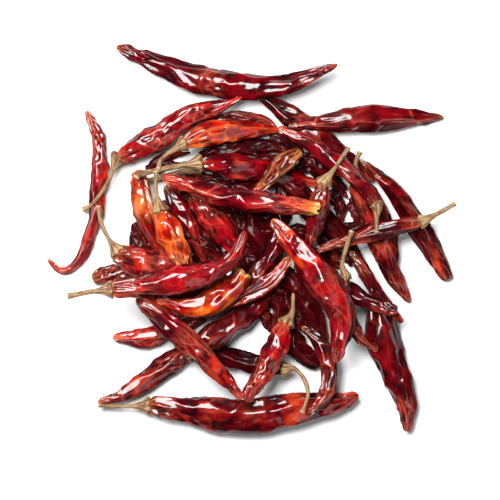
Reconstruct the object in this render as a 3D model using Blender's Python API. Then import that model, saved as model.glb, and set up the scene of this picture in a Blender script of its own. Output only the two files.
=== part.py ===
"""Heap of dried red chillies, as it lies on a table.

About 180 x 170 mm and under 40 mm high. The chillies are laid one after another, each as low as those
below it allow, and run into each other a little where they touch. With a low mound under the middle they
make one closed solid, and the gaps between the outer chillies are left open.
"""

import math

import bmesh
import bpy
import numpy as np
from mathutils import Vector

MM = 0.001

# Driving dimensions, in millimetres
FLATNESS = 0.72  # a dried pod's thickness, as a share of its width
SINK = 1.1  # how far two touching chillies run into each other
FLOOR_TRIM = 0.6  # what the flat underside takes off the lowest chillies
STEM_RADIUS = 1.2
CALYX_RADIUS = 3.4  # the cap where the stem meets the pod
STEEPEST = 0.8  # rise over run that a chilli may lean by
LEVELLING = 7  # how much it would rather lie level, in height per unit of lean
LEANS_TRIED = 161
POD_STEPS, STEM_STEPS = 36, 16  # places along a chilli where its height is tested
STEM_ROOT = 3  # the place along the pod, of POD_STEPS, where its stem starts inside it
POD_SIDES, POD_RINGS = 8, 10
STEM_SIDES, STEM_RINGS = 6, 7
MOUND_CENTRE = (-16, 2)
MOUND_SIZE = (44, 40, 6.5)  # half length, half width, height
FLOOR_BLOCK = (300, 300, 40)

# A pod's width at its shoulder and at its tip as shares of its greatest width, and where that is along it
FORMS = {
    "whole": (0.62, 0.35, 0.28),
    "spindle": (0.38, 0.50, 0.20),
    "horn": (0.45, 0.55, 0.45),
    "blunt": (0.60, 0.30, 0.55),
    "turned": (0.30, 0.68, 0.62),
    "long": (0.62, 0.50, 0.35),
    "mouthed": (0.52, 0.50, 0.66),
    "tailed": (0.62, 0.30, 0.16),
}

# Every chilli from the lowest to the highest: greatest width, form, the line from its shoulder to its tip
# seen from above, and its stem from the shoulder outwards. Other chillies have lost or hide their stems.
CHILLIES = [
    (17.0, "long", [(-46, -73.4), (-36, -74), (-22, -76), (-5, -77.5), (12, -75.8), (26, -73.7),
     (39, -71.5), (47.5, -69)],
     [(-58, -73.6), (-68, -73)]),
    (16.2, "whole", [(55, -25), (58.5, -44), (62.5, -56.5), (65.5, -66), (68.3, -76), (69, -85)], []),
    (8.2, "whole", [(-73, 57), (-67.5, 44), (-67.3, 22), (-71, 3), (-76.3, -9), (-83.5, -13.5),
     (-90, -8.5)],
     []),
    (11.4, "horn", [(1, 66), (30, 45), (54, 26)], []),
    (10.6, "turned", [(49, 35), (63.5, 21), (77, 1), (87.3, -18)], []),
    (11.0, "whole", [(14, -57), (-5, -53), (-27, -46)],
     [(19, -57), (23.4, -62), (24.8, -69), (22.2, -76.3)]),
    (13.2, "blunt", [(12, -40), (23, -51), (32, -54)], []),
    (11.4, "whole", [(21, 16), (32, 8), (50, -10)], []),
    (10.6, "whole", [(-24, 32), (-16, 38), (6, 41), (18, 38)], [(-38, 28), (-49, 25)]),
    (8.8, "whole", [(-27, 48), (-17, 52), (4, 53), (12, 48)], []),
    (9.7, "whole", [(-49, 6), (-45, 0), (-35, -10)], []),
    (8.8, "whole", [(-70.5, -17.5), (-60, -14.5), (-45, -17)], []),
    (10.6, "spindle", [(-61.5, -44), (-53.5, -43.8), (-44.7, -42.5), (-35, -39.8), (-20, -35)], []),
    (10.6, "turned", [(-68, -71.7), (-60, -69.2), (-51.5, -64.6), (-43, -58.6), (-35, -53.5), (-25, -48.5)],
     []),
    (13.2, "whole", [(-29, -52), (-2, -33), (15, -19)], []),
    (11.2, "whole", [(-49.5, 31), (-47.7, 15), (-43, 1), (-36, -13)], []),
    (13.0, "whole", [(-26, 21), (-14, 5), (-4, -9)], []),
    (11.4, "whole", [(-2, 15), (9, -20)], []),
    (9.7, "whole", [(14, 8), (9, -5), (-5, -27)], []),
    (14.5, "whole", [(46, 27), (53, 12), (59.7, -8), (64.3, -18), (70.3, -27.5)], [(46, 34), (48, 39)]),
    (6.8, "blunt", [(43, -5.5), (46.5, -10), (51, -17), (56, -24), (61.5, -31), (66.3, -37)], []),
    (13.2, "spindle", [(-60, 85), (-18, 69.3), (13, 68.2), (38, 77)], []),
    (12.1, "spindle", [(85, 53.7), (52, 53.6), (16, 50)], []),
    (12.5, "tailed", [(-59, 36), (-45, 43), (-27, 54), (-11, 60), (-4, 63)],
     [(-63, 26), (-70, 16), (-75, 13)]),
    (8.8, "horn", [(22, -38.5), (28.8, -44.5), (33.7, -53), (34.1, -62), (31.5, -70), (24.9, -78)], []),
    (10.0, "blunt", [(30, -18), (41, -22.7), (50, -27), (56.5, -29.7), (64.3, -31.3)], []),
    (9.7, "whole", [(75, 8), (54, 3), (35, -2), (28, -6)], [(83, 12), (90, 16)]),
    (7.9, "blunt", [(41.3, -16), (41, -27), (44, -37.5), (49, -45), (55.7, -49)], [(40, -10), (44, 4)]),
    (12.3, "whole", [(-23, 34), (2, 31), (31, 24)], [(-48, 29), (-51, 27)]),
    (11.4, "whole", [(-30, 42), (-13, 48), (12, 48)], [(-39, 36), (-41, 31)]),
    (16.5, "whole", [(-59, -5), (-53, -8), (-23, -14)], [(-63, 0.5), (-66, 7), (-67.5, 15)]),
    (8.8, "whole", [(-38, 24), (-28, 8), (-20, -11)], []),
    (10.6, "horn", [(17, -8), (5, -20), (-13, -29)], []),
    (12.3, "whole", [(-50.5, -25), (-27, -45), (-4, -70)], []),
    (11.4, "blunt", [(15.5, -36.5), (10, -49.5), (2.5, -61.5), (-2.5, -71)],
     [(18, -32), (18.5, -24), (20, -10)]),
    (10.2, "blunt", [(22, 39), (11, 31), (2, 20)], []),
    (9.3, "whole", [(55, 15), (44, 28), (28, 40), (12, 50)], [(55, 9), (55, 3)]),
    (13.4, "blunt", [(-40, 13), (-37, 4), (-32.5, -5), (-29, -15)], [(-42, 21), (-42, 30)]),
    (12.3, "whole", [(-3, -14), (-9, -21), (-25, -30), (-42, -27)], []),
    (11.9, "whole", [(32, 25), (29, 11), (26, -8)], [(37, 32), (43, 41)]),
    (10.6, "mouthed", [(30, 13), (4, 17), (-16, 20), (-31, 25), (-39, 27)], []),
    (13.2, "whole", [(-62, -22), (-31, -17), (-12, -11), (-5, -3), (-3, 4)], [(-71, -23), (-81, -25)]),
    (15.0, "horn", [(9, 9), (26, -11), (38.5, -31), (38, -54)], []),
]

SKIN = (0.33, 0.015, 0.012, 1.0)
SKIN_ROUGHNESS = 0.35


def clear_scene():
    for thing in list(bpy.data.objects):
        bpy.data.objects.remove(thing, do_unlink=True)


def collection_named(name):
    group = bpy.data.collections.new(name)
    bpy.context.scene.collection.children.link(group)
    return group


def line_through(points, steps):
    """A smooth line through the points (Catmull-Rom), as evenly spaced places along it."""
    p = np.array(points, float)
    p = np.vstack([2 * p[0] - p[1], p, 2 * p[-1] - p[-2]])
    t = np.linspace(0, 1, 16)[:, None]
    runs = []
    for a, b, c, d in zip(p, p[1:], p[2:], p[3:]):
        runs.append(b + 0.5 * t * (c - a + t * (2 * a - 5 * b + 4 * c - d + t * (3 * (b - c) + d - a))))
    line = np.vstack(runs)
    walked = np.r_[0, np.cumsum(np.linalg.norm(np.diff(line, axis=0), axis=1))]
    places = np.linspace(0, walked[-1], steps)
    return np.c_[np.interp(places, walked, line[:, 0]), np.interp(places, walked, line[:, 1])]


def rounded_ends(share, first, last):
    """1 along the body, falling to 0 in a quarter circle over the first and the last share."""
    near = np.clip(np.minimum(share / first, (1 - share) / last), 0, 1)
    return np.sqrt(1 - (1 - near) ** 2)


def pod_radius(share, width, form):
    shoulder, widest, tip = FORMS[form]
    rising = shoulder + (1 - shoulder) * np.sin(np.clip(share / widest, 0, 1) * math.pi / 2)
    falling = 1 - (1 - tip) * np.clip((share - widest) / (1 - widest), 0, 1) ** 1.7
    return width / 2 * np.minimum(rising, falling) * rounded_ends(share, 0.05, 0.04)


def stem_radius(share):
    flare = (CALYX_RADIUS - STEM_RADIUS) * np.exp(-((share / 0.16) ** 2))
    return (STEM_RADIUS + flare) * rounded_ends(share, 0.04, 0.04)


def laid_flat(width, form, pod_points, stem_points):
    """A chilli seen from above, with half its width and half its height at each place along it."""
    pod = line_through(pod_points, POD_STEPS)
    half = pod_radius(np.linspace(0.02, 0.98, POD_STEPS), width, form)
    chilli = {"plan": pod, "half": half, "tall": half * FLATNESS, "pod": pod, "width": width, "form": form}
    if stem_points:
        stem = line_through([tuple(pod[STEM_ROOT]), pod_points[0]] + stem_points, STEM_STEPS)
        thin = np.full(STEM_STEPS, STEM_RADIUS)
        chilli["plan"] = np.vstack([stem[::-1], pod])
        chilli["half"] = np.r_[thin, half]
        chilli["tall"] = np.r_[thin, half * FLATNESS]
        chilli["stem"] = stem
    return chilli


def lowest_heights(chilli, below):
    """How high the middle of each section has to be to clear the floor and the chillies below."""
    needed = chilli["tall"] - FLOOR_TRIM
    for other in below:
        apart = np.linalg.norm(chilli["plan"][:, None] - other["plan"][None], axis=2)
        reach = chilli["half"][:, None] + other["half"][None] - SINK
        stack = (chilli["tall"][:, None] + other["tall"][None] - SINK) * np.sqrt(
            np.clip(1 - (apart / reach) ** 2, 0, 1)
        )
        held = np.where(apart < reach, other["height"][None] + stack, -np.inf)
        needed = np.maximum(needed, held.max(axis=1))
    return needed


def settle(chilli, below):
    """Lean the chilli so that its middle lies as low as it can on what is under it."""
    needed = lowest_heights(chilli, below)
    centre = chilli["pod"].mean(axis=0)
    along = chilli["pod"][-1] - chilli["pod"][0]
    along /= np.linalg.norm(along)
    leans = sorted(np.linspace(-STEEPEST, STEEPEST, LEANS_TRIED), key=abs)
    run = (chilli["plan"] - centre) @ along
    lean = min(leans, key=lambda slope: round((needed - slope * run).max() + LEVELLING * abs(slope), 6))
    rise = (needed - lean * run).max()
    chilli["height"] = rise + lean * run
    for part in ("pod", "stem"):
        if part in chilli:
            heights = rise + lean * ((chilli[part] - centre) @ along)
            chilli[part + "_spine"] = np.c_[chilli[part], heights]


def body_along(name, spine, radius, flatness, sides, rings, group):
    """A sphere drawn out along a spine: its height becomes the place along it."""
    shape = bmesh.new()
    bmesh.ops.create_uvsphere(shape, u_segments=sides, v_segments=rings, radius=1)
    directions = np.gradient(spine, axis=0)
    places = np.linspace(0, 1, len(spine))
    corner = 1 / math.cos(math.pi / sides)  # so that the flats, not the corners, are at the radius
    for vertex in shape.verts:
        share = (1 - vertex.co.z) / 2
        middle = Vector([np.interp(share, places, spine[:, k]) for k in range(3)])
        ahead = Vector([np.interp(share, places, directions[:, k]) for k in range(3)]).normalized()
        across = ahead.cross(Vector((0, 0, 1))).normalized()
        turn = math.atan2(vertex.co.y, vertex.co.x)
        out = across * math.cos(turn) + across.cross(ahead) * math.sin(turn) * flatness
        vertex.co = (middle + out * float(radius(share)) * corner) * MM
    bmesh.ops.recalc_face_normals(shape, faces=shape.faces)
    return finished(name, shape, group)


def finished(name, shape, group):
    mesh = bpy.data.meshes.new(name)
    shape.to_mesh(mesh)
    shape.free()
    thing = bpy.data.objects.new(name, mesh)
    group.objects.link(thing)
    return thing


def as_guide(thing):
    thing.hide_render = True
    thing.display_type = "WIRE"
    return thing


def chilli_bodies(chilli, number, group):
    width, form = chilli["width"], chilli["form"]
    as_guide(body_along(
        f"pod_{number}", chilli["pod_spine"], lambda share: pod_radius(share, width, form),
        FLATNESS, POD_SIDES, POD_RINGS, group,
    ))
    if "stem" in chilli:
        as_guide(body_along(
            f"stem_{number}", chilli["stem_spine"], stem_radius, 1.0, STEM_SIDES, STEM_RINGS, group,
        ))


def mound(group):
    """The low middle of the heap, which the chillies hide and lean on."""
    shape = bmesh.new()
    bmesh.ops.create_icosphere(shape, subdivisions=3, radius=1)
    bmesh.ops.scale(shape, vec=Vector(MOUND_SIZE) * MM, verts=shape.verts)
    bmesh.ops.translate(shape, vec=Vector((*MOUND_CENTRE, 0)) * MM, verts=shape.verts)
    return finished("chilli_heap", shape, group)


def floor_block(group):
    """What lies under the heap, to cut its underside flat."""
    shape = bmesh.new()
    bmesh.ops.create_cube(shape, size=1)
    bmesh.ops.scale(shape, vec=Vector(FLOOR_BLOCK) * MM, verts=shape.verts)
    bmesh.ops.translate(shape, vec=(0, 0, -FLOOR_BLOCK[2] / 2 * MM), verts=shape.verts)
    return as_guide(finished("floor_block", shape, group))


def boolean(thing, operation, other):
    step = thing.modifiers.new(f"{operation.lower()} {other.name}", "BOOLEAN")
    step.operation = operation
    step.object = other
    step.solver = "EXACT"


def skin_material():
    material = bpy.data.materials.new("dried_chilli_skin")
    material.use_nodes = True
    shader = material.node_tree.nodes["Principled BSDF"]
    shader.inputs["Base Color"].default_value = SKIN
    shader.inputs["Roughness"].default_value = SKIN_ROUGHNESS
    shader.inputs["Metallic"].default_value = 0.0
    return material


def build():
    clear_scene()
    parts = collection_named("heap_of_dried_chillies")
    bodies = collection_named("chilli_bodies")
    cutters = collection_named("cutters")
    laid = []
    for number, (width, form, pod_points, stem_points) in enumerate(CHILLIES, 1):
        chilli = laid_flat(width, form, pod_points, stem_points)
        settle(chilli, laid)
        chilli_bodies(chilli, number, bodies)
        laid.append(chilli)
    heap = mound(parts)
    heap.data.materials.append(skin_material())
    for body in bodies.objects:
        boolean(heap, "UNION", body)
    boolean(heap, "DIFFERENCE", floor_block(cutters))


build()
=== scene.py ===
import math

import bmesh
import bpy
import numpy as np
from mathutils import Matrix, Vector


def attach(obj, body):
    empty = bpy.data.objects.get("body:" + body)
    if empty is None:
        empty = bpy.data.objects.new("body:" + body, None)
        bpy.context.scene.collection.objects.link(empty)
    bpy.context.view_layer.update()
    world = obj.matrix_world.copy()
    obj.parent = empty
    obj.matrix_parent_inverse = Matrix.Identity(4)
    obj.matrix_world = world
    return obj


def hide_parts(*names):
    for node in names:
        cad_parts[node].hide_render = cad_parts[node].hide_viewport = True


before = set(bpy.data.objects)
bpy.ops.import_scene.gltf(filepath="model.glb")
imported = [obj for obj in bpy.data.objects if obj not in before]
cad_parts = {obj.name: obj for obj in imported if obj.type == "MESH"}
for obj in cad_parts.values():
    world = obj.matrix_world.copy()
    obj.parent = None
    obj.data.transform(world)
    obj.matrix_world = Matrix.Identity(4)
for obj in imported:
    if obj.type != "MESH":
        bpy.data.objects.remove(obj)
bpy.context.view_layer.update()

# A loose heap of dried red chillies, seen from straight above.
# Lengths in the tables are millimetres; mm turns them into metres.
mm = 0.001
up = np.array((0.0, 0.0, 1.0))


# the chillies, lowest first

# width at the shoulder, place of the widest section, width at the tip, all as shares
podForms = {
    "whole": (0.62, 0.35, 0.28),
    "spindle": (0.38, 0.50, 0.20),
    "horn": (0.45, 0.55, 0.45),
    "blunt": (0.60, 0.30, 0.55),
    "turned": (0.30, 0.68, 0.62),
    "long": (0.62, 0.50, 0.35),
    "mouthed": (0.52, 0.50, 0.66),
    "tailed": (0.62, 0.30, 0.16),
}

heapValues = {
    "flatness": 0.72,  # a pod's thickness over its width
    "sink": 1.1,  # how far two touching chillies press into each other
    "floorTrim": 0.6,  # how much the floor flattens the lowest ones
    "stemRadius": 1.2,  # of every stem, while the heights are worked out
    "steepest": 0.8,  # rise over run that a chilli may lean by
    "leansTried": 161,  # slopes compared for each chilli
    "levelling": 7,  # how much it would rather lie level, in mm of height per unit of lean
}

chillies = []


# looks shared by chillies that dried into lengthwise pleats
pleated = {"foldCount": 7, "foldDepth": (0.15, 0.55), "wrinkleCount": 11, "dentDepth": 0.5,
           "crestShown": 0.1}


def chilli(kind, width, form, plan, stem=(), **looks):
    # plan runs from the shoulder to the tip, stem from the shoulder outwards, both as seen from above
    chillies.append({"kind": kind, "width": width, "form": form, "plan": plan, "stem": list(stem),
                     "looks": looks})


chilli("maroon", 17.0, "long",
       [(-46, -73.4), (-36, -74), (-22, -76), (-5, -77.5), (12, -75.8), (26, -73.7), (39, -71.5),
        (47.5, -69)], [(-58, -73.6), (-68, -73)], tone=0.5, warm=[(0.2, 0.06, 0.5), (0.68, 0.08, 0.4)])
chilli("maroon", 16.2, "whole",
       [(55, -25), (58.5, -44), (62.5, -56.5), (65.5, -66), (68.3, -76), (69, -85)],
       tone=0.3, warm=[(0.97, 0.06, 0.6)], crestShown=0.4)
chilli("crimson", 8.2, "whole",
       [(-73, 57), (-67.5, 44), (-67.3, 22), (-71, 3), (-76.3, -9), (-83.5, -13.5), (-90, -8.5)],
       tone=0.3, warm=[(0.42, 0.1, 0.6), (0.95, 0.08, 0.4)], crestShown=0.4)
chilli("maroon", 11.4, "horn", [(1, 66), (30, 45), (54, 26)])
chilli("maroon", 10.6, "turned",
       [(49, 35), (63.5, 21), (77, 1), (87.3, -18)], warm=[(0.9, 0.1, 0.7), (0.6, 0.1, 0.3)])
chilli("umberShade", 11.0, "whole",
       [(14, -57), (-5, -53), (-27, -46)], [(19, -57), (23.4, -62), (24.8, -69), (22.2, -76.3)])
chilli("umberShade", 13.2, "blunt", [(12, -40), (23, -51), (32, -54)])
chilli("umberShade", 11.4, "whole", [(21, 16), (32, 8), (50, -10)])
chilli("umberShade", 10.6, "whole",
       [(-24, 32), (-16, 38), (6, 41), (18, 38)], [(-38, 28), (-49, 25)], stemRadius=1.4)
chilli("crimson", 8.8, "whole", [(-27, 48), (-17, 52), (4, 53), (12, 48)])
chilli("crimson", 9.7, "whole", [(-49, 6), (-45, 0), (-35, -10)])
chilli("maroon", 8.8, "whole", [(-70.5, -17.5), (-60, -14.5), (-45, -17)])
chilli("crimson", 10.6, "spindle",
       [(-61.5, -44), (-53.5, -43.8), (-44.7, -42.5), (-35, -39.8), (-20, -35)],
       tone=0.6, warm=[(0.1, 0.12, 0.6), (0.5, 0.15, 0.2)])
chilli("maroon", 10.6, "turned",
       [(-68, -71.7), (-60, -69.2), (-51.5, -64.6), (-43, -58.6), (-35, -53.5), (-25, -48.5)],
       tone=0.8, warm=[(0.3, 0.25, 0.5)], crestShown=0.6)
chilli("maroon", 13.2, "whole", [(-29, -52), (-2, -33), (15, -19)], tone=0.4)
chilli("scarlet", 11.2, "whole",
       [(-49.5, 31), (-47.7, 15), (-43, 1), (-36, -13)], tone=0.6, warm=[(0.35, 0.2, 0.75)])
chilli("crimson", 13.0, "whole", [(-26, 21), (-14, 5), (-4, -9)])
chilli("umberShade", 11.4, "whole", [(-2, 15), (9, -20)])
chilli("maroon", 9.7, "whole", [(14, 8), (9, -5), (-5, -27)])
chilli("maroon", 14.5, "whole",
       [(46, 27), (53, 12), (59.7, -8), (64.3, -18), (70.3, -27.5)], [(46, 34), (48, 39)],
       warm=[(0.5, 0.1, 0.6), (0.15, 0.15, 0.5)])
chilli("maroon", 6.8, "blunt",
       [(43, -5.5), (46.5, -10), (51, -17), (56, -24), (61.5, -31), (66.3, -37)], **pleated)
chilli("maroon", 13.2, "spindle", [(-60, 85), (-18, 69.3), (13, 68.2), (38, 77)],
       tone=1.0, warm=[(0.9, 0.08, 0.5), (0.12, 0.08, 0.25)])
chilli("maroon", 12.1, "spindle", [(85, 53.7), (52, 53.6), (16, 50)])
chilli("crimson", 12.5, "tailed",
       [(-59, 36), (-45, 43), (-27, 54), (-11, 60), (-4, 63)], [(-63, 26), (-70, 16), (-75, 13)],
       tone=0.6)
chilli("maroon", 8.8, "horn",
       [(22, -38.5), (28.8, -44.5), (33.7, -53), (34.1, -62), (31.5, -70), (24.9, -78)],
       tone=0.1, crestShown=0.5)
chilli("maroon", 10.0, "blunt", [(30, -18), (41, -22.7), (50, -27), (56.5, -29.7), (64.3, -31.3)])
chilli("maroon", 9.7, "whole", [(75, 8), (54, 3), (35, -2), (28, -6)], [(83, 12), (90, 16)],
       warm=[(0.3, 0.2, 0.3)], stemRadius=1.1, **{**pleated, "crestShown": 0.5})
chilli("maroon", 7.9, "blunt",
       [(41.3, -16), (41, -27), (44, -37.5), (49, -45), (55.7, -49)], [(40, -10), (44, 4)],
       tone=0.3, warm=[(0.95, 0.12, 0.6)], crestShown=0.4)
chilli("crimson", 12.3, "whole", [(-23, 34), (2, 31), (31, 24)], [(-48, 29), (-51, 27)],
       tone=0.3, warm=[(0.08, 0.1, 0.7)], stemRadius=1.2)
chilli("scarlet", 11.4, "whole", [(-30, 42), (-13, 48), (12, 48)], [(-39, 36), (-41, 31)],
       tone=0.3, warm=[(0.08, 0.18, 1.0), (0.55, 0.25, 0.5)])
chilli("crimson", 16.5, "whole",
       [(-59, -5), (-53, -8), (-23, -14)], [(-63, 0.5), (-66, 7), (-67.5, 15)],
       tone=0.6, warm=[(0.3, 0.1, 0.3)])
chilli("crimson", 8.8, "whole", [(-38, 24), (-28, 8), (-20, -11)])
chilli("crimson", 10.6, "horn", [(17, -8), (5, -20), (-13, -29)], **pleated)
chilli("crimson", 12.3, "whole",
       [(-50.5, -25), (-27, -45), (-4, -70)], tone=0.1, warm=[(0.75, 0.12, 0.3)])
chilli("crimson", 11.4, "blunt",
       [(15.5, -36.5), (10, -49.5), (2.5, -61.5), (-2.5, -71)], [(18, -32), (18.5, -24), (20, -10)])
chilli("russet", 10.2, "blunt", [(22, 39), (11, 31), (2, 20)], **{**pleated, "crestShown": 0.6})
chilli("crimson", 9.3, "whole", [(55, 15), (44, 28), (28, 40), (12, 50)], [(55, 9), (55, 3)], tone=0.6)
chilli("scarlet", 13.4, "blunt", [(-40, 13), (-37, 4), (-32.5, -5), (-29, -15)], [(-42, 21), (-42, 30)],
       tone=0.8, warm=[(0.4, 0.4, 0.9)])
chilli("scarlet", 12.3, "whole", [(-3, -14), (-9, -21), (-25, -30), (-42, -27)],
       tone=1.0, warm=[(0.25, 0.4, 1.0)], mouth=0.06, straw=1.3)
chilli("maroon", 11.9, "whole", [(32, 25), (29, 11), (26, -8)], [(37, 32), (43, 41)])
chilli("crimson", 10.6, "mouthed", [(30, 13), (4, 17), (-16, 20), (-31, 25), (-39, 27)],
       tone=0.8, warm=[(0.06, 0.12, 1.0), (0.6, 0.12, 0.3), (0.97, 0.1, 0.6)], mouth=0.05)
chilli("crimson", 13.2, "whole",
       [(-62, -22), (-31, -17), (-12, -11), (-5, -3), (-3, 4)], [(-71, -23), (-81, -25)],
       tone=0.8, stemRadius=1.2)
chilli("crimson", 15.0, "horn", [(9, 9), (26, -11), (38.5, -31), (38, -54)],
       tone=1.0, warm=[(0.3, 0.12, 0.6), (0.12, 0.08, 0.35)])


# short dark chillies low on the floor, seen only through the heap's gaps, their near-black skin partly
# painted shade
hiddenLooks = {"around": 44}
hiddenChillies = [
    # width and plan
    (12, [(13, -12), (25, -27), (33, -45)]),
    (9, [(8, -17), (12, -30), (10, -39)]),
    (10, [(22, 38), (33, 29), (42, 22)]),
    (12, [(-27, 4), (-13, -9)]),
    (9, [(-51, 8), (-47, -4), (-42, -12)]),
    (5, [(32, 4), (45, 6.5), (52, 10)]),
    (10, [(10, 29), (22, 21), (34, 15)]),
    (8, [(22, -4), (32, -9), (41, -12)]),
    (10, [(-22, -14), (-6, -20)]),
    (11, [(-8, 26), (6, 12), (10, -8)]),
    (9, [(-42, 12), (-20, 22)]),
    (8, [(8, 46), (16, 43), (24, 37)]),
    (10, [(15, -29), (20, -34), (26, -42)]),
    (8, [(4, -29), (7, -36), (9, -41)]),
    (8, [(-32, -26), (-25, -27.5), (-18, -29)]),
    (5, [(-42, 30), (-35, 33), (-26, 34)]),
    (6, [(36, 26), (40, 21), (42, 18)]),
    (6, [(37, -5), (42, -9), (44, -12)]),
    (8, [(-4, -19), (1, -24), (8, -28)]),
    (8, [(18, 0), (23, -3), (29, -6)]),
    (9, [(-4, 37), (6, 36), (16, 34)]),
    (10, [(-37, 20), (-28, 25), (-16, 27)]),
    (8, [(-28, 2), (-25, -6), (-20, -12)]),
    (9, [(-6, -10), (2, -14), (8, -20)]),
    (8, [(15, 4), (24, 3), (32, -1)]),
    (9, [(28, 4), (34, -3), (38, -10)]),
    (10, [(14, -19), (17, -29), (18, -38)]),
    (8, [(-8, 14), (-4, 6), (-3, -2)]),
    (8, [(34, 22), (39, 15), (40, 8)]),
    (5, [(-47, 31), (-38, 36), (-27, 38.5)]),
    (7, [(44, 19), (46, 11), (50, 4)]),
    (7, [(-52, 4), (-51, -3), (-47, -8)]),
    (8, [(12, 24), (15, 14), (14, 2)]),
    (11, [(-37, 12), (-35, 0), (-31, -12)]),
    (11, [(-12, 17), (-8, 4)]),
    (9, [(-14, -7), (-4, -14)]),
    (9, [(-49, -22), (-38, -25), (-28, -24), (-14, -25)]),
    (13, [(-34, 16), (-26, 2), (-16, -8)]),
    (12, [(-20, 14), (-10, 2), (0, -8)]),
    (12, [(0, 4), (14, 0), (24, -8)]),
    (12, [(-4, -4), (4, -16), (16, -24)]),
    (10, [(-40, 4), (-34, -14)]),
    (10, [(-24, -22), (-2, -26)]),
    (9, [(20, 30), (30, 36), (38, 34)]),
    (9, [(-18, 28), (0, 26), (14, 24)]),
]


# how they lie on each other

# places tested along a pod and a stem, and the place in the pod where the stem starts
podSteps, stemSteps, stemRoot = 36, 16, 3


def lineThrough(points, steps):
    # a smooth line through the points, as evenly spaced places
    p = np.array(points, float)
    p = np.vstack([2 * p[0] - p[1], p, 2 * p[-1] - p[-2]])
    t = np.linspace(0, 1, 16)[:, None]
    runs = []
    for a, b, c, d in zip(p, p[1:], p[2:], p[3:]):
        runs.append(b + 0.5 * t * (c - a + t * (2 * a - 5 * b + 4 * c - d + t * (3 * (b - c) + d - a))))
    line = np.vstack(runs)
    walked = np.r_[0, np.cumsum(np.linalg.norm(np.diff(line, axis=0), axis=1))]
    places = np.linspace(0, walked[-1], steps)
    return np.stack([np.interp(places, walked, line[:, k]) for k in range(line.shape[1])], axis=1)


def roundedEnds(share, first, last):
    near = np.clip(np.minimum(share / first, (1 - share) / last), 0, 1)
    return np.sqrt(1 - (1 - near) ** 2)


def podRadius(share, row):
    shoulder, widest, tip = podForms[row["form"]]
    rising = shoulder + (1 - shoulder) * np.sin(np.clip(share / widest, 0, 1) * math.pi / 2)
    falling = 1 - (1 - tip) * np.clip((share - widest) / (1 - widest), 0, 1) ** 1.7
    return row["width"] / 2 * np.minimum(rising, falling) * roundedEnds(share, 0.05, 0.04)


def neededHeights(row, below):
    needed = row["tall"] - heapValues["floorTrim"]
    for other in below:
        apart = np.linalg.norm(row["seen"][:, None] - other["seen"][None], axis=2)
        reach = row["half"][:, None] + other["half"][None] - heapValues["sink"]
        stack = (row["tall"][:, None] + other["tall"][None] - heapValues["sink"]) * np.sqrt(
            np.clip(1 - (apart / reach) ** 2, 0, 1))
        needed = np.maximum(needed, np.where(apart < reach, other["height"][None] + stack, -99).max(axis=1))
    return needed


def settle(row, below):
    # lean the chilli so that its middle lies as low as it can on what is under it
    flat = heapValues["flatness"]
    pod = lineThrough(row["plan"], podSteps)
    half = podRadius(np.linspace(0.02, 0.98, podSteps), row)
    row.update(seen=pod, half=half, tall=half * flat)
    if row["stem"]:
        stem = lineThrough([tuple(pod[stemRoot]), row["plan"][0]] + row["stem"], stemSteps)
        thin = np.full(stemSteps, heapValues["stemRadius"])
        row.update(seen=np.vstack([stem[::-1], pod]), half=np.r_[thin, half], tall=np.r_[thin, half * flat])
    needed = neededHeights(row, below)
    centre = pod.mean(axis=0)
    along = pod[-1] - pod[0]
    along /= np.linalg.norm(along)
    run = (row["seen"] - centre) @ along
    steepest = heapValues["steepest"]
    leans = sorted(np.linspace(-steepest, steepest, heapValues["leansTried"]), key=abs)
    lean = min(leans, key=lambda slope: round(
        (needed - slope * run).max() + heapValues["levelling"] * abs(slope), 6))
    rise = (needed - lean * run).max()
    row["height"] = rise + lean * run
    row["podLine"] = np.c_[pod, rise + lean * ((pod - centre) @ along)]
    if row["stem"]:
        row["stemLine"] = np.c_[stem, rise + lean * ((stem - centre) @ along)]
    row["length"] = np.linalg.norm(np.diff(row["podLine"], axis=0), axis=1).sum()


for place, row in enumerate(chillies):
    settle(row, chillies[:place])
    row["seed"] = place
for width, plan in hiddenChillies:
    row = {"kind": "umberShade", "width": width, "form": "whole", "plan": plan, "stem": [],
           "looks": hiddenLooks}
    settle(row, [])
    row["seed"] = len(chillies)
    chillies.append(row)
highest = max(row["height"].max() for row in chillies)
print("settled", len(chillies), "chillies, the highest line at", round(highest, 1), "mm")


# wrinkled pods

def turnsEvery(spacing, length, fewest=3):
    return max(fewest, int(length / spacing))


def wander(rng, share, turns):
    # a smooth random line between -1 and 1 with about this many turns along the pod
    knots = rng.uniform(-1, 1, turns + 4)
    place = np.clip(share, 0, 1) * turns + 1
    i = np.minimum(place.astype(int), turns + 1)
    t = place - i
    a, b, c, d = knots[i - 1], knots[i], knots[i + 1], knots[i + 2]
    return b + 0.5 * t * (c - a + t * (2 * a - 5 * b + 4 * c - d + t * (3 * (b - c) + d - a)))


def panels(rng, share, angle, count, drift, depth, turns):
    # sunken panels between ridges that wander along the pod
    # gives the fall, as a share of the radius, and how near each point is to a crest
    whole = 2 * math.pi
    creaseWidth, narrowest = 0.13, 0.25  # radians, of a crest and of a panel
    ridges = []
    for i in range(count):
        start = whole * (i + 0.35 * rng.uniform(-1, 1)) / count
        ridges.append(start + drift * wander(rng, share, turns))
    fall, crest = np.zeros_like(share), np.zeros_like(share)
    for i in range(count):
        begin = ridges[i]
        end = ridges[(i + 1) % count] + (whole if i == count - 1 else 0)
        gap = np.clip(end - begin, narrowest, None)
        t = ((angle - begin) % whole) / gap
        low, high = depth
        here = low + (high - low) * (0.5 + 0.5 * wander(rng, share, turns))
        panel = np.clip(here, 0, 1) * np.sin(math.pi * np.clip(t, 0, 1)) ** 0.8
        fall = np.maximum(fall, np.where(t < 1, panel, 0))
        near = np.minimum(t, np.abs(1 - t)) * gap
        sharp = np.exp(-(near / creaseWidth) ** 2) * np.clip(here / 0.12, 0, 1)
        crest = np.maximum(crest, np.where(t < 1, sharp, 0))
    return fall, crest


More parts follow.
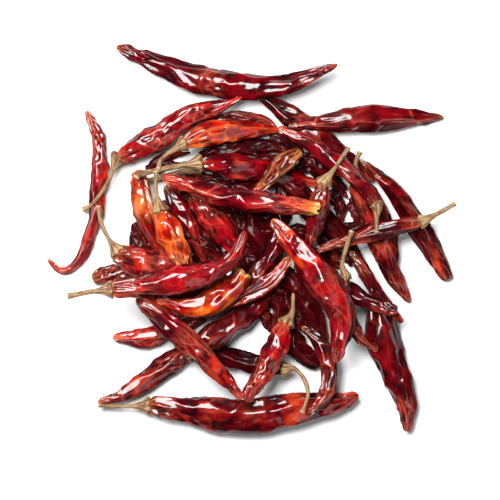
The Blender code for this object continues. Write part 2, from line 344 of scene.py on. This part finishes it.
def dents(rng, share, angle, length, width, cell, depth):
    # a crumpled skin: cells sink by unlike depths, in mm, and leave sharp creases between them
    around = max(4, round(math.pi * width / cell))
    along = max(4, round(length / (1.6 * cell)))
    jitter = rng.uniform(0, 1, (along + 4, around, 2))
    depths = rng.uniform(0.1, 1, (along + 4, around)) * depth
    u = (angle / (2 * math.pi) + 0.5) * around
    v = np.clip(share, 0, 1) * along + 1
    nearest, second, here = np.full_like(u, 9.0), np.full_like(u, 9.0), np.zeros_like(u)
    for i in (-1, 0, 1):
        for j in (-1, 0, 1):
            column, line = np.floor(u).astype(int) + i, np.floor(v).astype(int) + j
            seed = jitter[line, column % around]
            gap = np.hypot(column + seed[:, 0] - u, line + seed[:, 1] - v)
            closer = gap < nearest
            second = np.where(closer, nearest, np.minimum(second, gap))
            here = np.where(closer, depths[line, column % around], here)
            nearest = np.where(closer, gap, nearest)
    slopeShare, creaseWidth = 0.8, 0.55  # of a cell, and in mm
    fromEdge = second - nearest
    edge = np.clip(fromEdge / slopeShare, 0, 1)
    return edge * (2 - edge) * here, np.exp(-(fromEdge * cell / creaseWidth) ** 2)


podValues = {
    "pointSpacing": 0.62,  # mm between points along a pod
    "around": 56,  # points round a pod
    "foldCount": 4,
    "fullness": 1.07,  # makes up for what the folds take off
    "foldDepth": (-0.05, 0.34),
    "wrinkleCount": 8,
    "wrinkleDepth": (-0.16, 0.13),
    "dentCell": 8.0,  # mm across one dent
    "dentDepth": 1.5,
    "crumpleCell": 3.0,
    "crumpleDepth": 0.75,
    # the pale creases are partly paler skin and partly a painted highlight on the sharp ridges
    "crestShown": 0.25,  # how much of the sharp creases is pale
    "straw": 4.0,  # mm of dry yellow skin at an open mouth
    "swelling": 0.07,  # how much the width varies along the pod
    "pucker": 0.30,  # how deep the ends are gathered
    "endLength": 7,  # mm of gathered skin at the shoulder
    "tipLength": 8,
    "twist": 0.25,  # radians that a pod may be turned about its own line
    "bend": 0.5,  # mm that the middle strays sideways
    "lowest": 0.02,  # mm kept between the skin and the floor
    "scar": (0.35, 1.2),  # how dry the shoulder is where its stem was, and over how many mm
    # the tip glow is painted: an orange tint standing in for light through the thin tip
    "tipGlow": (0.55, 5.5),  # how much the thin tip glows, and over how many mm
}

mouthValues = {
    "flare": 0.22,  # how much the waves of the lip change its width
    "wave": 0.9,  # mm that they move its edge
    "notch": 0.6,  # mm of the smaller waves on them
    "hollow": 1.5,  # how far the hollow goes in, over the length of skin folded into it
}


def frameOf(line):
    # the sideways and the upward direction along a line
    ahead = np.gradient(line, axis=0)
    ahead /= np.linalg.norm(ahead, axis=1)[:, None]
    across = np.cross(ahead, up)
    across /= np.linalg.norm(across, axis=1)[:, None]
    return across, np.cross(across, ahead)


def drawnOut(reached, steps, line, side, rise):
    # points beside and above a line, at the places reached along it
    across, above = frameOf(line)

    def at(values):
        return np.stack([np.interp(reached, steps, values[:, k]) for k in range(3)], axis=1)

    return at(line) + side[:, None] * at(across) + rise[:, None] * at(above)


def opened(row, share, angle, radius):
    # folds the first end in to leave a hollow behind a wavy rim
    # gives the new radius, where along the pod each point goes, and how deep inside it is
    mouth = row["looks"].get("mouth", 0)
    if not mouth:
        return radius, share, np.zeros_like(share)
    length = row["length"]
    inside = np.clip((mouth - share) / mouth, 0, 1)
    rim = podRadius(np.array([mouth]), row)[0]
    radius = np.where(inside > 0, rim * (1 - 0.25 * inside - 0.75 * inside ** 4), radius)
    fromRim = np.abs(share - mouth)
    radius = radius * (1 + mouthValues["flare"] * np.sin(3 * angle + 1) * np.exp(-fromRim * length / 2))
    waves = mouthValues["wave"] * np.sin(3 * angle + 2) + mouthValues["notch"] * np.sin(5 * angle)
    waves = waves / length
    outside = (share - mouth) / (1 - mouth) + waves * np.exp(-fromRim * 40)
    reached = np.where(inside > 0, mouthValues["hollow"] * (mouth - share) + waves, outside)
    return radius, reached, inside


def dryEnd(row, looks, share):
    # how much of the skin has gone straw yellow: a band at an open mouth, else a touch where the stem was
    if row["kind"] == "umberShade":
        return np.zeros_like(share)
    if "mouth" in looks:
        return np.exp(-((share - looks["mouth"]) * row["length"] / looks["straw"]) ** 2)
    dryness, reach = looks["scar"]
    return dryness * np.exp(-share * row["length"] / reach)


def warmth(row, looks, share):
    # orange skin with painted glow of light through thin skin: always a little at the tip, and the row's
    # own patches
    glow, reach = looks["tipGlow"]
    warm = glow * np.exp(-((1 - share) * row["length"] / reach) ** 2)
    for middle, halfLength, strength in looks.get("warm", ()):
        warm = np.maximum(warm, strength * np.exp(-((share - middle) / halfLength) ** 2))
    return warm


def shapePod(row, ball):
    # draws a unit sphere out along the pod's line and folds its skin
    rng = np.random.default_rng(100 + row["seed"])
    looks = {**podValues, **row["looks"]}
    length, width = row["length"], row["width"]
    evenly = np.arccos(np.clip(ball[:, 2], -1, 1)) / math.pi
    share = 0.6 * evenly + 0.4 * (1 - ball[:, 2]) / 2
    angle = np.arctan2(ball[:, 1], ball[:, 0])
    ends = np.exp(-share * length / looks["endLength"]) + np.exp(-(1 - share) * length / looks["tipLength"])
    ends = np.clip(ends, 0, 1)
    radius = looks["fullness"] * podRadius(share, row)
    radius = radius * (1 + looks["swelling"] * wander(rng, share, turnsEvery(9, length)))
    radius, reached, inside = opened(row, share, angle, radius)

    folds, foldCrest = panels(
        rng, share, angle, looks["foldCount"], 0.5, looks["foldDepth"], turnsEvery(16, length))
    wrinkles, wrinkleCrest = panels(
        rng, share, angle, looks["wrinkleCount"], 0.4, looks["wrinkleDepth"], turnsEvery(8, length, 4))
    pucker = looks["pucker"] * ends * np.abs(np.sin(3.5 * angle + 3 * wander(rng, share, 5)))
    sunk, dentCrest = dents(rng, share, angle, length, width, looks["dentCell"], looks["dentDepth"])
    crumpled, crumpleCrest = dents(
        rng, share, angle, length, width, looks["crumpleCell"], looks["crumpleDepth"])
    patchy = np.clip(0.05 + 0.9 * wander(rng, share, turnsEvery(14, length)) + ends, 0, 1)
    creased = (sunk + crumpled * patchy) * np.clip(radius / width * 3, 0, 1)
    fallen = radius * (folds + wrinkles + pucker) + creased
    skin = np.clip(radius - fallen, 0.25 * radius, None)

    flat = heapValues["flatness"] * (1 + 0.10 * wander(rng, share, 4))
    roll = looks["twist"] * wander(rng, share, 3)
    side, rise = skin * np.cos(angle), skin * np.sin(angle) * np.minimum(flat, 0.8)
    side, rise = side * np.cos(roll) - rise * np.sin(roll), side * np.sin(roll) + rise * np.cos(roll)
    line = lineThrough(row["podLine"], 160)
    bend = looks["bend"] * wander(rng, share, turnsEvery(12, length))
    points = drawnOut(reached, np.linspace(0, 1, len(line)), line, side + bend, rise)
    points[:, 2] = np.maximum(points[:, 2], looks["lowest"])

    shown = looks["crestShown"] + 0.9 * wander(rng, share, turnsEvery(9, length, 4)) + 0.8 * ends
    large = np.maximum(foldCrest, 0.8 * dentCrest)
    small = np.maximum(0.7 * wrinkleCrest, crumpleCrest * patchy)
    tone = row["looks"].get("tone", rng.uniform(0, 1)) + 0.35 * np.cos(angle - rng.uniform(0, 6.3))
    tone = tone + 0.4 * wander(rng, share, turnsEvery(12, length))
    away = 1 - np.exp(-np.minimum(share, 1 - share) * 25)
    marks = {
        # pale creases: partly paler skin, partly a painted highlight on the sharp ridges
        "crest": np.maximum(large, small) * np.clip(shown, 0, 1),
        "ridge": np.clip(1 - fallen / (0.08 * width + 0.25), 0, 1) ** 1.5,
        # painted shade: sunken folds and the inside of an open mouth are darkened towards the deep colour
        "hollow": np.clip(fallen / (0.2 * width) + inside, 0, 1),
        # painted shade: darker down each pod's lower sides, away from its ends
        "shadedUnderside": np.clip((0.60 - np.sin(angle)) / 0.6, 0, 1) * away,
        "straw": dryEnd(row, looks, share),
        "tone": np.clip(tone, 0, 1),
        "warm": warmth(row, looks, share),
    }
    offset = rng.uniform(-500, 500, 3)
    place = np.c_[width / 2 * np.cos(angle), width / 2 * np.sin(angle), share * length] + offset
    return points, marks, place


def shapedBall(row, around, rings, shaper):
    # a unit sphere, its points moved and marked by shaper
    ball = bmesh.new()
    bmesh.ops.create_uvsphere(ball, u_segments=around, v_segments=rings, radius=1)
    mesh = bpy.data.meshes.new("ball")
    ball.to_mesh(mesh)
    ball.free()
    points = np.empty(len(mesh.vertices) * 3)
    mesh.vertices.foreach_get("co", points)
    moved, marks, place = shaper(row, points.reshape(-1, 3))
    mesh.vertices.foreach_set("co", (moved * mm).ravel())
    for mark, values in marks.items():
        mesh.attributes.new(mark, "FLOAT", "POINT").data.foreach_set("value", values.astype(np.float32))
    grain = mesh.attributes.new("place", "FLOAT_VECTOR", "POINT")
    grain.data.foreach_set("vector", (place * mm).astype(np.float32).ravel())
    return mesh


def joinedPiece(name, meshes, material):
    whole = bmesh.new()
    for mesh in meshes:
        whole.from_mesh(mesh)
        bpy.data.meshes.remove(mesh)
    bmesh.ops.recalc_face_normals(whole, faces=whole.faces)
    mesh = bpy.data.meshes.new(name)
    whole.to_mesh(mesh)
    whole.free()
    mesh.polygons.foreach_set("use_smooth", np.ones(len(mesh.polygons), bool))
    mesh.update()
    piece = bpy.data.objects.new(name, mesh)
    bpy.context.scene.collection.objects.link(piece)
    mesh.materials.append(material)
    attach(piece, "root")
    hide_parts("chilli_heap")
    print(name, "made,", len(mesh.polygons), "faces")
    return piece


def podPiece(kind, material):
    meshes = []
    for row in chillies:
        if row["kind"] == kind:
            rings = int(row["length"] / podValues["pointSpacing"])
            around = row["looks"].get("around", podValues["around"])
            meshes.append(shapedBall(row, around, rings, shapePod))
    return joinedPiece(kind + "Pods", meshes, material)


# stems and their caps

stemValues = {
    "around": 40,
    "rings": 90,
    "radius": 0.92,
    "endThickening": 0.35,  # how much wider the free end is
    "neckShare": 0.92,  # the cap's radius over the pod's at its shoulder
    "widestNeck": 4.0,
    "flareLength": 8.5,  # mm over which the cap narrows to the stem
    "flareCurve": 2.3,
    "brimReach": 1.0,  # how far the brim laps over the pod's shoulder
    "lobes": 5,
    "ribs": 9,
}


def shapeStem(row, ball):
    rng = np.random.default_rng(700 + row["seed"])
    share = np.arccos(np.clip(ball[:, 2], -1, 1)) / math.pi
    angle = np.arctan2(ball[:, 1], ball[:, 0])
    line = lineThrough(row["stemLine"], 120)
    walked = np.r_[0, np.cumsum(np.linalg.norm(np.diff(line, axis=0), axis=1))]
    root = np.linalg.norm(line[:, :2] - row["podLine"][0, :2], axis=1).argmin()
    out = share * walked[-1] - walked[root]  # mm beyond the pod's shoulder
    shoulder = podRadius(np.array([0.06]), row)[0]
    neck = min(stemValues["neckShare"] * shoulder, stemValues["widestNeck"])
    thicker = stemValues["endThickening"] * np.clip(share - 0.86, 0, 1) / 0.14
    thin = row["looks"].get("stemRadius", stemValues["radius"]) * (1 + 0.12 * wander(rng, share, 7))
    thin = thin * (1 + thicker)
    flare = np.clip(1 - out / stemValues["flareLength"], 0, 1) ** stemValues["flareCurve"]
    lobes = 0.5 + 0.5 * np.cos(stemValues["lobes"] * angle + rng.uniform(0, 6))
    brim = -stemValues["brimReach"] * (0.4 + 0.8 * lobes)
    cone = thin + (neck - thin) * np.minimum(flare, 1) * (1 + 0.07 * lobes * np.exp(-np.clip(out, 0, None)))
    tucked = np.clip((brim - out) / 0.35, 0, 1)
    radius = cone * (1 - 0.75 * tucked) * roundedEnds(share, 0.02, 0.012)
    grooves = np.abs(np.sin(stemValues["ribs"] * angle / 2 + 0.6 * wander(rng, share, 5)))
    radius = radius * (1 - 0.10 * (1 - grooves) ** 1.5 - 0.05 * np.clip(wander(rng, share, 12), 0, 1))
    flat = 1 - (1 - heapValues["flatness"]) * np.exp(-np.clip(out, 0, None) / 2.5)

    side, rise = radius * np.cos(angle), radius * np.sin(angle) * flat
    points = drawnOut(share, walked / walked[-1], line, side, rise)
    marks = {
        # painted shade: the stem's grooves are darkened
        "grooveShade": (1 - grooves) ** 1.5,
        "cut": np.clip((share - 0.975) / 0.01, 0, 1),
    }
    place = np.c_[np.cos(angle), np.sin(angle), share * walked[-1]] + rng.uniform(-500, 500, 3)
    return points, marks, place


def stemPiece(material):
    stemmed = [row for row in chillies if row["stem"]]
    meshes = [shapedBall(row, stemValues["around"], stemValues["rings"], shapeStem) for row in stemmed]
    return joinedPiece("stems", meshes, material)


# materials

def addNode(tree, kind, settings=None, **inputs):
    node = tree.nodes.new(kind)
    for name, value in (settings or {}).items():
        setattr(node, name, value)
    for name, value in inputs.items():
        socket = node.inputs[int(name[1:])] if name[1:].isdigit() else node.inputs[name.replace("_", " ")]
        if isinstance(value, bpy.types.NodeSocket):
            tree.links.new(value, socket)
        else:
            socket.default_value = value
    return node


def attribute(tree, name, output="Fac"):
    return addNode(tree, "ShaderNodeAttribute", {"attribute_name": name}).outputs[output]


def mathNode(tree, operation, a, b=0.0, clamp=False):
    settings = {"operation": operation, "use_clamp": clamp}
    return addNode(tree, "ShaderNodeMath", settings, i0=a, i1=b).outputs[0]


def times(tree, a, b):
    return mathNode(tree, "MULTIPLY", a, b)


def mixColour(tree, factor, a, b):
    node = addNode(tree, "ShaderNodeMix", {"data_type": "RGBA"}, i0=factor, i6=a, i7=b)
    return node.outputs[2]


def noise(tree, vector, scale, detail=3.0, roughness=0.55, distortion=0.0):
    return addNode(tree, "ShaderNodeTexNoise", None, Vector=vector, Scale=scale, Detail=detail,
                   Roughness=roughness, Distortion=distortion).outputs["Fac"]


def spread(tree, value, low, high):
    return addNode(tree, "ShaderNodeMapRange", {"interpolation_type": "SMOOTHSTEP"}, Value=value,
                   From_Min=low, From_Max=high).outputs[0]


def drawnLong(tree, place, share):
    # places for a pattern that is stretched along the chilli
    return addNode(tree, "ShaderNodeMapping", None, Vector=place, Scale=(1.0, 1.0, share)).outputs[0]


def newGroup(name, inputs, outputs):
    group = bpy.data.node_groups.new(name, "ShaderNodeTree")
    for label, kind in inputs:
        group.interface.new_socket(label, in_out="INPUT", socket_type=kind)
    for label, kind in outputs:
        group.interface.new_socket(label, in_out="OUTPUT", socket_type=kind)
    return group, group.nodes.new("NodeGroupInput").outputs, group.nodes.new("NodeGroupOutput").inputs


skinGrain = {
    # sizes of the patterns, as turns per metre, and how far the streaks are drawn out along the pod
    "blotch": 150,
    "spots": 110,
    "streak": 420,
    "fine": 1500,
    "crack": 1100,
    "lengthwise": 0.28,
}

strawColour = (0.80, 0.42, 0.10)


def skinGroup():
    colour, number = "NodeSocketColor", "NodeSocketFloat"
    group, given, result = newGroup(
        "driedSkin",
        [("Deep", colour), ("Skin", colour), ("Ridge", colour), ("Crest", colour), ("Warm", colour),
         ("Mottle", number), ("Coat", number)],
        [("Color", colour), ("Roughness", number), ("Coat", number), ("Height", number)])
    place = attribute(group, "place", "Vector")
    lengthwise = drawnLong(group, place, skinGrain["lengthwise"])
    blotch = noise(group, place, skinGrain["blotch"], 3)
    spots = noise(group, place, skinGrain["spots"], 2)
    streak = noise(group, lengthwise, skinGrain["streak"], 4)
    fine = noise(group, place, skinGrain["fine"], 3)
    crack = noise(group, lengthwise, skinGrain["crack"], 4, 0.6, 0.6)
    ridge, hollow = attribute(group, "ridge"), attribute(group, "hollow")
    shadedUnderside, warm = attribute(group, "shadedUnderside"), attribute(group, "warm")

    # blotches from the deep colour to the skin's
    body = times(group, spread(group, blotch, 0.40, 0.60), given["Mottle"])
    body = mathNode(group, "ADD", body, mathNode(group, "SUBTRACT", 1.0, given["Mottle"]))
    body = mathNode(group, "ADD", body, times(group, spread(group, streak, 0.3, 0.7), 0.15))
    lively = mathNode(group, "ADD", 0.35, attribute(group, "tone"))
    body = mathNode(group, "MULTIPLY", body, lively, True)
    shade = mixColour(group, body, given["Deep"], given["Skin"])

    # orange patches with painted glow of light through thin skin, broken up by spots
    glow = mathNode(group, "ADD", warm, 0.16)
    glow = mathNode(group, "MULTIPLY", glow, spread(group, spots, 0.46, 0.62), True)
    shade = mixColour(group, glow, shade, given["Ridge"])
    glow = mathNode(group, "MULTIPLY", warm, spread(group, spots, 0.52, 0.66), True)
    shade = mixColour(group, glow, shade, given["Warm"])

    # painted shade in hollows, worn ridges, pale creases (paler skin and painted highlight), painted shade
    # on undersides, and dry ends
    shade = mixColour(group, times(group, hollow, 0.5), shade, given["Deep"])
    worn = times(group, ridge, spread(group, blotch, 0.42, 0.62))
    shade = mixColour(group, times(group, worn, 0.35), shade, given["Ridge"])
    # pale creases: partly paler skin, partly a painted highlight
    edge = times(group, attribute(group, "crest"), spread(group, streak, 0.3, 0.6))
    shade = mixColour(group, times(group, edge, 0.7), shade, given["Crest"])
    shade = mixColour(group, times(group, shadedUnderside, 0.8), shade, given["Deep"])
    dry = times(group, attribute(group, "straw"), spread(group, streak, 0.25, 0.5))
    shade = mixColour(group, dry, shade, (*strawColour, 1))
    group.links.new(shade, result["Color"])

    rough = mathNode(group, "ADD", 0.10, times(group, blotch, 0.22))
    sheltered = mathNode(group, "MAXIMUM", hollow, shadedUnderside)
    rough = mathNode(group, "ADD", rough, times(group, sheltered, 0.22))
    group.links.new(rough, result["Roughness"])
    bare = mathNode(group, "SUBTRACT", 1.0, times(group, shadedUnderside, 0.85))
    group.links.new(times(group, bare, given["Coat"]), result["Coat"])
    height = mathNode(group, "ADD", times(group, crack, 0.7), times(group, fine, 0.3))
    group.links.new(height, result["Height"])
    return group


skinFinishes = {
    # colours of dark blotches, also painted as shade in hollows and undersides, skin, worn ridges, sharp
    # crests (pale skin and painted highlight) and thin patches (orange skin and painted glow)
    # then how blotchy the skin is and how glossy its coat
    "crimson": ((0.030, 0.000, 0.002), (0.290, 0.000, 0.005), (0.72, 0.004, 0.004), (0.88, 0.160, 0.090),
                (0.90, 0.090, 0.003), 0.95, 0.85),
    "scarlet": ((0.080, 0.000, 0.001), (0.560, 0.004, 0.001), (0.92, 0.065, 0.002), (0.98, 0.350, 0.110),
                (1.00, 0.190, 0.003), 0.85, 0.80),
    "maroon": ((0.012, 0.000, 0.001), (0.120, 0.000, 0.003), (0.36, 0.001, 0.003), (0.70, 0.110, 0.055),
               (0.72, 0.065, 0.003), 0.95, 0.80),
    # near-black brown skin, partly painted shade for chillies deep in the heap
    "umberShade": ((0.010, 0.000, 0.001), (0.060, 0.000, 0.002), (0.15, 0.004, 0.003), (0.18, 0.020, 0.012),
              (0.40, 0.045, 0.008), 0.80, 0.16),
    "russet": ((0.018, 0.000, 0.001), (0.170, 0.001, 0.002), (0.55, 0.028, 0.004), (0.90, 0.280, 0.080),
               (0.85, 0.130, 0.006), 0.95, 0.50),
}

skinShine = {"coatRoughness": 0.10, "specular": 0.05, "wrinkleBump": 0.15, "bumpDepth": 0.0005}


def skinMaterial(kind, group):
    deep, skin, ridge, crest, warm, mottle, coat = skinFinishes[kind]
    material = bpy.data.materials.new(kind + "Skin")
    material.use_nodes = True
    tree = material.node_tree
    shader = tree.nodes["Principled BSDF"]
    look = addNode(tree, "ShaderNodeGroup", {"node_tree": group}, Deep=(*deep, 1), Skin=(*skin, 1),
                   Ridge=(*ridge, 1), Crest=(*crest, 1), Warm=(*warm, 1), Mottle=mottle, Coat=coat)
    bump = addNode(tree, "ShaderNodeBump", None, Strength=skinShine["wrinkleBump"],
                   Distance=skinShine["bumpDepth"], Height=look.outputs["Height"])
    tree.links.new(look.outputs["Color"], shader.inputs["Base Color"])
    tree.links.new(look.outputs["Roughness"], shader.inputs["Roughness"])
    tree.links.new(bump.outputs["Normal"], shader.inputs["Normal"])
    tree.links.new(look.outputs["Coat"], shader.inputs["Coat Weight"])
    shader.inputs["Coat Roughness"].default_value = skinShine["coatRoughness"]
    shader.inputs["Specular IOR Level"].default_value = skinShine["specular"]
    return material


stemFinish = {
    "wood": (0.44, 0.28, 0.125),
    "dark": (0.13, 0.045, 0.018),
    "cut": (0.72, 0.55, 0.33),
    "roughness": 0.6,
    "grain": 2200,
    "patches": 260,
    "lengthwise": 0.12,
    "bumpStrength": 0.5,
    "bumpDepth": 0.0005,
}


def stemMaterial():
    material = bpy.data.materials.new("driedStem")
    material.use_nodes = True
    tree = material.node_tree
    shader = tree.nodes["Principled BSDF"]
    place = attribute(tree, "place", "Vector")
    lengthwise = drawnLong(tree, place, stemFinish["lengthwise"])
    grain = noise(tree, lengthwise, stemFinish["grain"], 4)
    patch = noise(tree, place, stemFinish["patches"], 3)
    mix = times(tree, spread(tree, grain, 0.30, 0.60), spread(tree, patch, 0.22, 0.5))
    # painted shade: darker in the grooves
    mix = mathNode(tree, "SUBTRACT", mix, times(tree, attribute(tree, "grooveShade"), 0.8), True)
    shade = mixColour(tree, mix, (*stemFinish["dark"], 1), (*stemFinish["wood"], 1))
    shade = mixColour(tree, attribute(tree, "cut"), shade, (*stemFinish["cut"], 1))
    bump = addNode(tree, "ShaderNodeBump", None, Strength=stemFinish["bumpStrength"],
                   Distance=stemFinish["bumpDepth"], Height=grain)
    tree.links.new(shade, shader.inputs["Base Color"])
    tree.links.new(bump.outputs["Normal"], shader.inputs["Normal"])
    shader.inputs["Roughness"].default_value = stemFinish["roughness"]
    return material


# make the heap

skins = skinGroup()
for kind in skinFinishes:
    podPiece(kind, skinMaterial(kind, skins))
stemPiece(stemMaterial())
print("chillies and stems made")


# stage, light and camera

stageValues = {"floorSize": 12.0, "floorColour": (0.97, 0.97, 0.97), "world": 0.05,
               "keyPower": 23.0, "keySize": 0.55, "keyPlace": (-0.26, 0.34, 0.98),
               "fillPower": 2.4, "fillSize": 0.7, "fillPlace": (0.5, -0.6, 0.7)}


def makeFloor():
    shape = bmesh.new()
    bmesh.ops.create_grid(shape, x_segments=1, y_segments=1, size=stageValues["floorSize"] / 2)
    mesh = bpy.data.meshes.new("floor")
    shape.to_mesh(mesh)
    shape.free()
    floor = bpy.data.objects.new("floor", mesh)
    bpy.context.scene.collection.objects.link(floor)
    material = bpy.data.materials.new("paleFloor")
    material.use_nodes = True
    shader = material.node_tree.nodes["Principled BSDF"]
    shader.inputs["Base Color"].default_value = (*stageValues["floorColour"], 1)
    shader.inputs["Roughness"].default_value = 0.9
    shader.inputs["Specular IOR Level"].default_value = 0.1
    mesh.materials.append(material)


def softbox(name, place, size, power):
    light = bpy.data.lights.new(name, "AREA")
    light.size = size
    light.energy = power
    lamp = bpy.data.objects.new(name, light)
    bpy.context.scene.collection.objects.link(lamp)
    lamp.location = place
    lamp.rotation_euler = (-Vector(place)).to_track_quat("-Z", "Y").to_euler()
    lamp.visible_camera = False


def makeWorld():
    world = bpy.data.worlds.new("studio")
    world.use_nodes = True
    world.node_tree.nodes["Background"].inputs["Color"].default_value = (1, 1, 1, 1)
    world.node_tree.nodes["Background"].inputs["Strength"].default_value = stageValues["world"]
    bpy.context.scene.world = world


cameraValues = {"height": 3.0, "middle": (-0.0007, -0.0046), "viewWidth": 0.220, "focusHeight": 0.015}


def makeCamera():
    camera = bpy.data.cameras.new("camera")
    holder = bpy.data.objects.new("camera", camera)
    bpy.context.scene.collection.objects.link(holder)
    holder.location = (*cameraValues["middle"], cameraValues["height"])
    reach = cameraValues["height"] - cameraValues["focusHeight"]
    camera.lens = camera.sensor_width * reach / cameraValues["viewWidth"]
    bpy.context.scene.camera = holder


makeFloor()
softbox("keyLight", stageValues["keyPlace"], stageValues["keySize"], stageValues["keyPower"])
softbox("fillLight", stageValues["fillPlace"], stageValues["fillSize"], stageValues["fillPower"])
makeWorld()
makeCamera()
bpy.context.scene.view_settings.view_transform = "Standard"
print("stage, lights and camera made")
